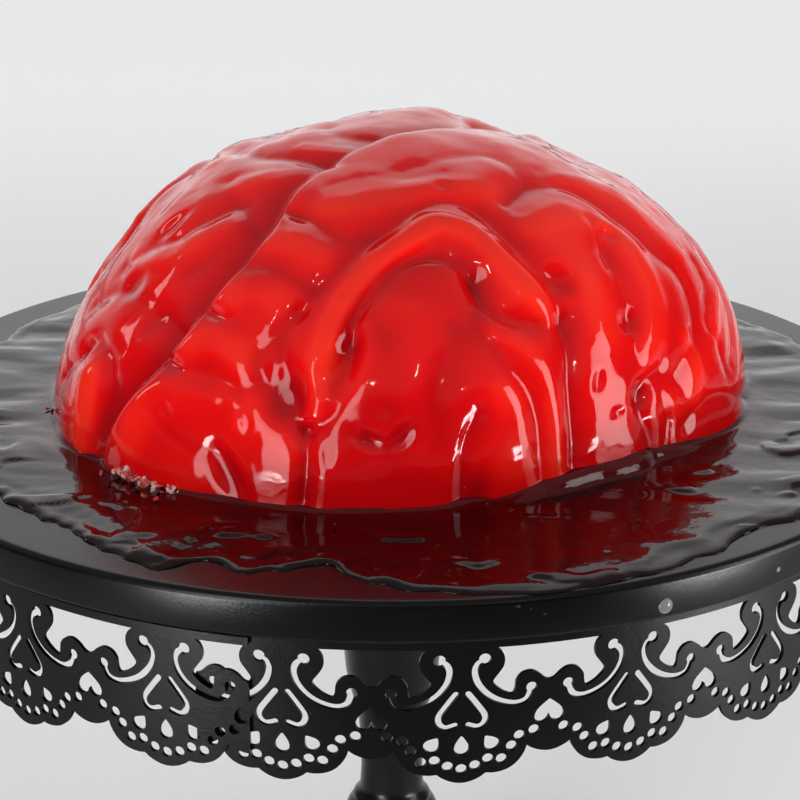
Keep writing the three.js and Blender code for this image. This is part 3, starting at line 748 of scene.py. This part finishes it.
def slot_outline(path, radius, start_ball=None, end_ball=None, steps=5):
    """A slot that follows a path, with round ends, and a larger round at an end where one is given."""
    p = bend_through(path, steps)
    d = np.gradient(p, axis=0)
    d /= np.linalg.norm(d, axis=1, keepdims=True)
    n = np.stack([-d[:, 1], d[:, 0]], -1)
    w = np.full(len(p), radius)
    left, right = p + n * w[:, None], p - n * w[:, None]

    def cap(centre, direction, r):
        a0 = math.atan2(direction[1], direction[0])
        k = 8
        return [centre + r * np.array([math.cos(a0 + math.pi / 2 - math.pi * i / k), math.sin(a0 + math.pi / 2 - math.pi * i / k)]) for i in range(k + 1)]

    def ball(centre, direction, r, neck):
        a0 = math.atan2(direction[1], direction[0])
        open_angle = math.pi - math.asin(min(0.99, neck / r))
        k = 14
        return [centre + r * np.array([math.cos(a0 + open_angle - 2 * open_angle * i / k), math.sin(a0 + open_angle - 2 * open_angle * i / k)]) for i in range(k + 1)]

    end = ball(p[-1] + d[-1] * end_ball * 0.6, d[-1], end_ball, radius) if end_ball else cap(p[-1], d[-1], radius)
    start = ball(p[0] - d[0] * start_ball * 0.6, -d[0], start_ball, radius) if start_ball else cap(p[0], -d[0], radius)
    return np.array(list(left[1:-1]) + list(end) + list(right[1:-1][::-1]) + list(start))


def drop_outline(centre, width, height, tilt, steps=18):
    """A teardrop with its tip up, turned by tilt degrees."""
    t = np.linspace(0, 2 * np.pi, steps, endpoint=False)
    x = width / 2 * np.sin(t) * (1 + 0.32 * np.cos(t)) * -1
    z = height / 2 * -np.cos(t)
    x = np.where(z > 0, x * (1 - 0.38 * (z / (height / 2)) ** 1.3), x)
    a = math.radians(tilt)
    return np.array(centre) + np.stack([x * math.cos(a) - z * math.sin(a), x * math.sin(a) + z * math.cos(a)], -1)


def dot_outline(centre, radius, steps=14):
    t = np.linspace(0, 2 * np.pi, steps, endpoint=False)
    return np.array(centre) + radius * np.stack([np.cos(t), np.sin(t)], -1)


def flip(outline):
    return (np.array(outline) * np.array([-1, 1]))[::-1]


def window_half():
    """The edge of the big window right of the scallop's axis, from its top corner down to its dip at the border."""
    pts = [(8.1, 25.3), (9.3, 24.4), (10.1, 22.6), (9.9, 20.4), (8.6, 18.4), (7.4, 16.6), (8.2, 15.2), (10.2, 13.6), (12.1, 12.9),
           (12.75, 14.2), (13.0, 16.3), (14.4, 18.0), (16.6, 18.5), (18.6, 17.6), (20.1, 16.2), (HALF, 15.7)]
    return bend_through(pts, 3)


def heart_half():
    pts = [(HALF, 10.6), (20.0, 9.6), (18.3, 8.0), (17.6, 6.2), (18.3, 4.8), (19.6, 4.5), (20.8, 5.2), (HALF, 6.4)]
    return bend_through(pts, 3)


def half_module_holes():
    """Holes right of the axis that lie wholly inside the module."""
    return [
        slot_outline([(1.5, 13.6), (3.6, 10.8), (5.5, 7.9), (5.3, 5.9), (3.8, 4.9), (1.6, 5.5)], 0.74),
        slot_outline([(4.6, 21.9), (3.5, 21.0), (3.0, 19.0), (3.9, 16.0), (6.3, 13.1), (9.5, 11.2), (13.0, 10.4), (15.5, 11.2), (16.5, 13.4)], 0.76, 1.5, 1.35),
        drop_outline((7.0, 0.5), 3.6, 4.4, 36),
        dot_outline((3.3, -5.4), 1.36), dot_outline((6.4, -3.8), 1.36), dot_outline((9.7, -4.1), 1.36),
        dot_outline((12.1, -0.9), 1.36), dot_outline((14.0, 1.7), 1.36), dot_outline((17.6, 2.8), 1.36),
    ]


def inside(points, poly):
    x, y = points[:, 0], points[:, 1]
    hit = np.zeros(len(points), bool)
    n = len(poly)
    for i in range(n):
        (x0, y0), (x1, y1) = poly[i], poly[(i + 1) % n]
        cross = ((y0 > y) != (y1 > y)) & (x < (x1 - x0) * (y - y0) / ((y1 - y0) or 1e-12) + x0)
        hit ^= cross
    return hit


def module_triangles():
    """The flat lace module from -HALF to HALF: its points and its triangles."""
    top = TOP - RIM - 0.3 - LACE_Z
    inner, outer = (5.9, -7.5), (15.9, -1.1)
    low_right = list(lobe(outer, inner, -2.5, 10)[::-1])
    right_scallop = [np.array(outer)] + [np.array([outer[0] + (HALF - outer[0]) * t, outer[1] - 2.05 * math.sin(math.pi / 2 * t) ** 0.8]) for t in (0.12, 0.28, 0.46, 0.64, 0.82, 1.0)]
    middle = list(lobe(flip([inner])[0], inner, 2.4, 12))
    # bottom outline from the left border to the right border
    right = [np.array(inner)] + [p for p in low_right if inner[0] + 0.05 < p[0] < outer[0] - 0.02] + right_scallop
    left = [p * np.array([-1, 1]) for p in right[::-1]]
    bottom = left[:-1] + middle + right
    window = window_half()
    heart = heart_half()
    # solid outline, counter-clockwise: the border is broken by the window and by the heart
    holes = half_module_holes()
    holes = holes + [flip(h) for h in holes] + [drop_outline((0, 0), 3.45, 5.2, 0), dot_outline((0, -6.2), 1.36)]
    # the band over the window is a part of its own in the outline, joined here
    full = list(bottom) + [heart[-1]] + list(heart[::-1][1:]) + [window[-1]] + list(window[::-1][1:])
    full += [np.array([HALF, WINDOW_TOP]), np.array([HALF, top]), np.array([-HALF, top]), np.array([-HALF, WINDOW_TOP])]
    full += [p * np.array([-1, 1]) for p in window] + [p * np.array([-1, 1]) for p in heart]
    outline = np.array(full)
    points, edges = [], []

    def add_loop(loop):
        start = len(points)
        points.extend([Vector((float(p[0]), float(p[1]))) for p in loop])
        m = len(loop)
        edges.extend([(start + i, start + (i + 1) % m) for i in range(m)])

    add_loop(outline)
    for h in holes:
        add_loop(h)
    # upright lines, so that the strip can be rolled
    z0, z1 = -10.5, top + 0.5
    for x in np.linspace(-HALF, HALF, 15)[1:-1]:
        start = len(points)
        points.extend([Vector((float(x), z0)), Vector((float(x), z1))])
        edges.append((start, start + 1))
    verts, _, tris, _, _, _ = delaunay_2d_cdt(points, edges, [], 0, 1e-5)
    V = np.array([tuple(v) for v in verts])
    T = np.array([t for t in tris if len(t) == 3])
    centre = V[T].mean(1)
    keep = inside(centre, outline)
    for h in holes:
        keep &= ~inside(centre, h)
    T = T[keep]
    # make all the triangles turn the same way
    a, b, c = V[T[:, 0]], V[T[:, 1]], V[T[:, 2]]
    turn = (b[:, 0] - a[:, 0]) * (c[:, 1] - a[:, 1]) - (b[:, 1] - a[:, 1]) * (c[:, 0] - a[:, 0])
    T[turn < 0] = T[turn < 0][:, ::-1]
    T = T[np.abs(turn) > 1e-7]
    used, inverse = np.unique(T, return_inverse=True)
    return V[used], inverse.reshape(T.shape)


def make_lace():
    V, T = module_triangles()
    count = {}
    for t in T:
        for k in range(3):
            e = (t[k], t[(k + 1) % 3])
            key = (min(e), max(e))
            count.setdefault(key, []).append(e)
    rim = [es[0] for es in count.values() if len(es) == 1]
    thickness = 1.0
    vertices, faces, seen = [], [], {}

    def vertex(x, z, angle, side):
        r = strip_radius(angle) + 0.12 * math.sin(math.radians(angle) * 9 + 1.0) * min(1.0, (TOP - 14 - (LACE_Z + z)) / 20 if z < 20 else 0) - 0.14
        key = (round(angle, 3), round(z, 3), side)
        if key not in seen:
            rr = r if side else r - thickness
            a = math.radians(angle)
            seen[key] = len(vertices)
            vertices.append((rr * math.sin(a), -rr * math.cos(a), LACE_Z + z))
        return seen[key]

    for k in range(MODULES):
        axis = FIRST + PITCH * k
        angle = axis + V[:, 0] / HALF * PITCH / 2
        outer = [vertex(V[i, 0], V[i, 1], angle[i], 1) for i in range(len(V))]
        inner = [vertex(V[i, 0], V[i, 1], angle[i], 0) for i in range(len(V))]
        for t in T:
            faces.append((outer[t[0]], outer[t[1]], outer[t[2]]))
            faces.append((inner[t[0]], inner[t[2]], inner[t[1]]))
        for a, b in rim:
            at_right = abs(V[a, 0] - HALF) < 1e-3 and abs(V[b, 0] - HALF) < 1e-3
            at_left = abs(V[a, 0] + HALF) < 1e-3 and abs(V[b, 0] + HALF) < 1e-3
            if (at_right and k < MODULES - 1) or (at_left and k > 0):
                continue
            faces.append((outer[b], outer[a], inner[a], inner[b]))
    ob = mesh_object("lace_strip", vertices, faces, sharp=35)
    return ob


# ------------------------------------------------------------------ stand
def make_plate():
    b = TOP - RIM
    e = 1.8
    corner = [(PLATE_R - e + e * math.cos(t), TOP - e + e * math.sin(t)) for t in np.linspace(0, math.pi / 2, 9)]
    under = [(0, b), (60, b), (120, b), (PLATE_R - 3, b), (PLATE_R - 0.9, b + 0.1), (PLATE_R - 0.15, b + 0.55), (PLATE_R - 0.02, b + 1.2)]
    top = [(r, TOP) for r in (147.2, 140, 120, 90, 60, 30)]
    return turned("plate_top", under + corner + top + [(0, TOP)], 288, sharp=50)


def make_column():
    t, b = TOP, 30.3
    points = [
        (0, b), (17, b), (17.2, b + 1.6), (15.6, b + 2.6), (12.4, b + 3.8), (9.6, b + 7.2), (9.2, b + 10.6), (10.2, b + 13.2),
        (13.6, b + 17.4), (15.2, b + 21.4), (15.5, b + 25), (15.2, b + 28.4), (13.8, b + 32.2), (12.3, b + 34.4), (12.0, b + 35.6), (10.2, b + 38.2),
        (9.8, b + 42), (9.6, t - 123), (9.9, t - 115), (10.7, t - 105.5), (12.6, t - 98.5), (14.1, t - 92), (14.9, t - 84), (15.5, t - 74),
        (16.4, t - 50), (17.4, t - 28), (18.4, t - 21), (21.3, t - 16.5), (22, t - 15), (22, t - RIM - 0.3), (0, t - RIM - 0.3),
    ]
    body = bend_through(points[1:-2], 3)
    profile = [points[0]] + [tuple(p) for p in body] + [points[-2], points[-1]]
    return turned("turned_column", profile, 96, sharp=48)


def make_foot():
    top, lip, R = 30.0, 3.2, 80.0
    profile = [(0, 0), (40, 0), (R - 1.6, 0), (R - 0.5, 0.5), (R, 1.4), (R, 2.4), (R - 0.5, 3.1), (R - 1.4, 3.4)]
    for i in range(1, 25):
        t = i / 24
        profile.append((R - 1.4 - (R - 21.4) * t, lip + 0.2 + (top - lip - 0.2) * (0.28 * t + 0.72 * t ** 3 * (1.6 - 0.6 * t))))
    profile += [(12, top), (0, top)]
    return turned("foot_dome", profile, 160, sharp=40)


# ------------------------------------------------------------------ drips and crumbs
def blob(centre, size, seed, flat=1.0, steps=10, rough=0.22, along=None):
    """A small uneven lump: its points and faces, in rings from pole to pole."""
    vertices, faces = [], []
    n = steps
    for i in range(n + 1):
        th = math.pi * i / n
        m = 1 if i in (0, n) else 2 * n
        for j in range(m):
            a = 2 * math.pi * j / m
            d = np.array([math.sin(th) * math.cos(a), math.sin(th) * math.sin(a), math.cos(th)])
            k = 1 + rough * float(noise3((d * 1.3 + seed * 3.1)[None, :], 1.0, seed)[0])
            vertices.append(np.array(centre) + d * np.array(size) * k)
    def idx(i, j):
        if i == 0:
            return 0
        if i == n:
            return len(vertices) - 1
        return 1 + (i - 1) * 2 * n + j % (2 * n)
    for i in range(n):
        for j in range(2 * n):
            quad = [idx(i, j), idx(i + 1, j), idx(i + 1, j + 1), idx(i, j + 1)]
            face = list(dict.fromkeys(quad))
            if len(face) >= 3:
                faces.append(tuple(face))
    return vertices, faces


def join_blobs(name, items):
    vertices, faces, kinds = [], [], []
    for v, f, kind in items:
        start = len(vertices)
        vertices += list(v)
        faces += [tuple(start + i for i in face) for face in f]
        kinds += [kind] * len(v)
    ob = mesh_object(name, vertices, faces)
    point_attribute(ob, "kind", kinds)
    return ob


def make_crumbs(outline):
    """The torn edge at the front of the cake, and loose bits on the pool."""
    rng = np.random.default_rng(7)
    items = []
    a = around_angle(outline[:, 0], outline[:, 1])
    r = np.hypot(outline[:, 0], outline[:, 1])
    o = np.argsort(a)
    clumps = ((-43.6, 0.7, 2.6), (-42.2, 0.8, 3.4), (-40.6, 0.9, 2.2), (-38.4, 1.0, 1.9), (-36.2, 1.0, 1.6), (-34.0, 1.1, 1.2))

    def flake(k, centre, size, kind):
        # a torn scrap: a thin uneven lump turned any way
        v, f = blob((0, 0, 0), (size, size * (0.45 + 0.4 * rng.random()), size * 0.3), k + 3, steps=7, rough=0.85)
        turn = np.linalg.qr(rng.normal(size=(3, 3)))[0]
        if np.linalg.det(turn) < 0:
            turn[:, 0] *= -1
        items.append(([turn @ p + np.array(centre) for p in v], f, kind))

    for k in range(96):
        at, spread, tall = clumps[min(5, int(rng.random() ** 1.5 * 6))]
        angle = at + rng.normal(0, 0.55) * spread
        edge = float(np.interp(angle, a[o], r[o]))
        rise = rng.random()
        rr = edge + 0.5 + 0.7 * abs(rng.normal()) * (1.2 - rise)
        size = 0.6 + rng.random() ** 2 * 1.1
        ar = math.radians(angle)
        kind = 0.18 if rise < 0.3 else (0.64 if rng.random() < 0.4 else 0.97)
        flake(k, (rr * math.sin(ar), -rr * math.cos(ar), TOP + 1.2 + tall * rise), size, kind)
    for k, (x, y) in enumerate([(-97.2, -23.6), (-99.0, -22.0), (-14.3, -107.0), (-60.5, -91.0), (-66.0, -84.0), (-77.0, -72.0), (30.0, -98.0), (-69.5, -84.5), (-71.5, -82.0), (-64.0, -88.5), (-74.0, -79.5)]):
        flake(100 + k, (x, y, TOP + 1.9), 0.75, 0.55 if k % 2 else 0.2)
    return join_blobs("torn_crumbs", items)


def make_drips():
    """Drops of glaze on the rim band, where the pool reached the plate's edge."""
    items = []
    drops = [(25.72, -7.4, 2.0, 2.1, 1.2), (39.39, -6.3, 0.8, 0.8, 0.5), (11.2, -2.1, 0.7, 0.5, 0.4), (13.7, -4.7, 0.5, 0.45, 0.35),
             (12.4, -3.0, 0.35, 0.35, 0.3), (27.4, -5.2, 0.4, 0.4, 0.3), (-1.87, -9.9, 1.7, 0.5, 0.25)]
    for k, (angle, z, w, h, out) in enumerate(drops):
        a = math.radians(angle)
        v, f = blob((0, 0, 0), (w, out, h), 40 + k, steps=9, rough=0.08)
        c, s = math.cos(a), math.sin(a)
        placed = [(p[0] * c - (p[1] + -PLATE_R + 0.25) * s, p[0] * s + (p[1] + -PLATE_R + 0.25) * c, TOP + z + p[2]) for p in v]
        items.append((placed, f, 0.9 if k < 2 else 0.1))
    return join_blobs("rim_drops", items)


# ------------------------------------------------------------------ light and floor
def make_floor():
    n, R = 96, 14.0
    vertices = [(0, 0, 0)]
    faces = []
    for k, rad in enumerate((1.0, 3.0, R)):
        for i in range(n):
            a = 2 * math.pi * i / n
            vertices.append((rad * 1000 * math.cos(a), rad * 1000 * math.sin(a), 0))
    for i in range(n):
        j = (i + 1) % n
        faces.append((0, 1 + i, 1 + j))
        for k in (0, 1):
            faces.append((1 + k * n + i, 1 + (k + 1) * n + i, 1 + (k + 1) * n + j, 1 + k * n + j))
    ob = mesh_object("floor", vertices, faces, smooth=False)
    ob.data.materials.append(floor_material())


def area_light(name, place_at, aim, width, height, power, colour=(1, 1, 1)):
    data = bpy.data.lights.new(name, "AREA")
    data.shape = "RECTANGLE"
    data.size, data.size_y = width, height
    data.energy = power
    data.color = colour
    ob = bpy.data.objects.new(name, data)
    ob.location = place_at
    direction = Vector(aim) - Vector(place_at)
    ob.rotation_euler = direction.to_track_quat("-Z", "Y").to_euler()
    scene.collection.objects.link(ob)
    return ob


def make_world():
    world = bpy.data.worlds.new("studio")
    scene.world = world
    world.use_nodes = True
    nt = world.node_tree
    nt.nodes.clear()
    out = nt.nodes.new("ShaderNodeOutputWorld")
    back = nt.nodes.new("ShaderNodeBackground")
    nt.links.new(back.outputs[0], out.inputs[0])
    way = node(nt, "ShaderNodeTexCoord").outputs["Generated"]
    sep = node(nt, "ShaderNodeSeparateXYZ", {"Vector": way})
    behind = node(nt, "ShaderNodeMapRange", {"Value": sep.outputs["Y"], "From Min": 0.50, "From Max": 0.97, "To Min": 0.0, "To Max": 1.0}, interpolation_type="SMOOTHSTEP").outputs["Result"]
    high = node(nt, "ShaderNodeMapRange", {"Value": sep.outputs["Z"], "From Min": 0.34, "From Max": 0.62, "To Min": 0.0, "To Max": 1.0}, interpolation_type="SMOOTHSTEP").outputs["Result"]
    wall = mix_colour(nt, behind, (0.06, 0.06, 0.062), (1.02, 1.02, 1.04))
    room = mix_colour(nt, high, wall, (0.36, 0.36, 0.37))
    # a tall bright panel stands behind the object and leans a little over it
    side = node(nt, "ShaderNodeMapRange", {"Value": math_node(nt, "ABSOLUTE", sep.outputs["X"]), "From Min": 0.16, "From Max": 0.44, "To Min": 1.0, "To Max": 0.0}, interpolation_type="SMOOTHSTEP").outputs["Result"]
    top = node(nt, "ShaderNodeMapRange", {"Value": sep.outputs["Y"], "From Min": 0.50, "From Max": 0.68, "To Min": 0.0, "To Max": 1.0}, interpolation_type="SMOOTHSTEP").outputs["Result"]
    colour = mix_colour(nt, math_node(nt, "MULTIPLY", side, top), room, (1.2, 1.2, 1.22))
    nt.links.new(colour, back.inputs["Color"])
    back.inputs["Strength"].default_value = 1.0


# ------------------------------------------------------------------ build
make_camera()
make_floor()
make_world()
# two low windows that stand near the object, gridded, so that the floor in front stays dim
for name, turn, width, high, power in (("left_window", -31, 0.30, 0.80, 1.34), ("right_window", 76, 0.31, 0.66, 1.20)):
    way = math.radians(turn)
    light = area_light(name, (0.9 * math.sin(way), -0.9 * math.cos(way), 0.005 + high / 2), (0, 0, 0.24), width, high, power)
    light.data.spread = math.radians(100)
# their light caught near the floor, which shows in the rim band
for name, turn, width, power in (("left_glow", -35, 0.14, 0.34), ("right_glow", 60, 0.17, 0.50)):
    way = math.radians(turn)
    light = area_light(name, (0.64 * math.sin(way), -0.64 * math.cos(way), 0.07), (0, 0, 0.2), width, 0.12, power)
    light.data.spread = math.radians(100)
area_light("side_window", (-1.67, 0.67, 0.98), (0, 0, 0.24), 0.26, 0.48, 1.3)
# two nearly parallel beams fall on the floor behind the object and pass clear of it
for name, back, depth, power, spread in (("backdrop_near", 2.48, 2.2, 7.3, 2.5), ("backdrop_far", 3.6, 2.6, 7.4, 22)):
    beam = area_light(name, (0.0, back, 2.4), (0.0, back - 1.2, 0.0), 3.0, depth, power)
    beam.data.spread = math.radians(spread)
area_light("lamp_left", (-0.55, -1.6, 1.55), (0, 0, 0.24), 0.04, 0.04, 0.7, (1.0, 0.93, 0.8))
area_light("lamp_right", (0.75, -1.5, 1.5), (0, 0, 0.24), 0.035, 0.035, 0.6, (1.0, 0.93, 0.8))

cake, outline = make_cake()
cake.data.materials.append(glaze_material())
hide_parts("cake")

pool = make_pool(outline)
pool.data.materials.append(pool_material())

crumbs = make_crumbs(outline)
crumbs.data.materials.append(crumb_material())

drips = make_drips()
drips.data.materials.append(drop_material())

plate = make_plate()
plate.data.materials.append(black_metal("plate_satin_black", (0.0008, 0.0008, 0.0009), 0.22, 0.30, 1100.0, 0.10, 0.5))
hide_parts("plate")

lace = make_lace()
lace.data.materials.append(black_metal("lace_satin_black", (0.0009, 0.0009, 0.001), 0.28, 0.38, 1300.0, 0.14, 0.6))
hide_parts("lace_skirt")

column = make_column()
column.data.materials.append(black_metal("column_black", (0.003, 0.003, 0.0032), 0.20, 0.30, 1000.0, 0.08, 0.3))
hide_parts("column")

foot = make_foot()
foot.data.materials.append(black_metal("foot_black", (0.003, 0.003, 0.0032), 0.24, 0.34, 1000.0, 0.08, 0.3))
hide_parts("foot")

for piece in (cake, pool, crumbs, drips, plate, lace, column, foot):
    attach(piece, "root")

scene.view_settings.view_transform = "Standard"
scene.view_settings.look = "None"
scene.view_settings.exposure = 0.0
scene.view_settings.gamma = 1.0
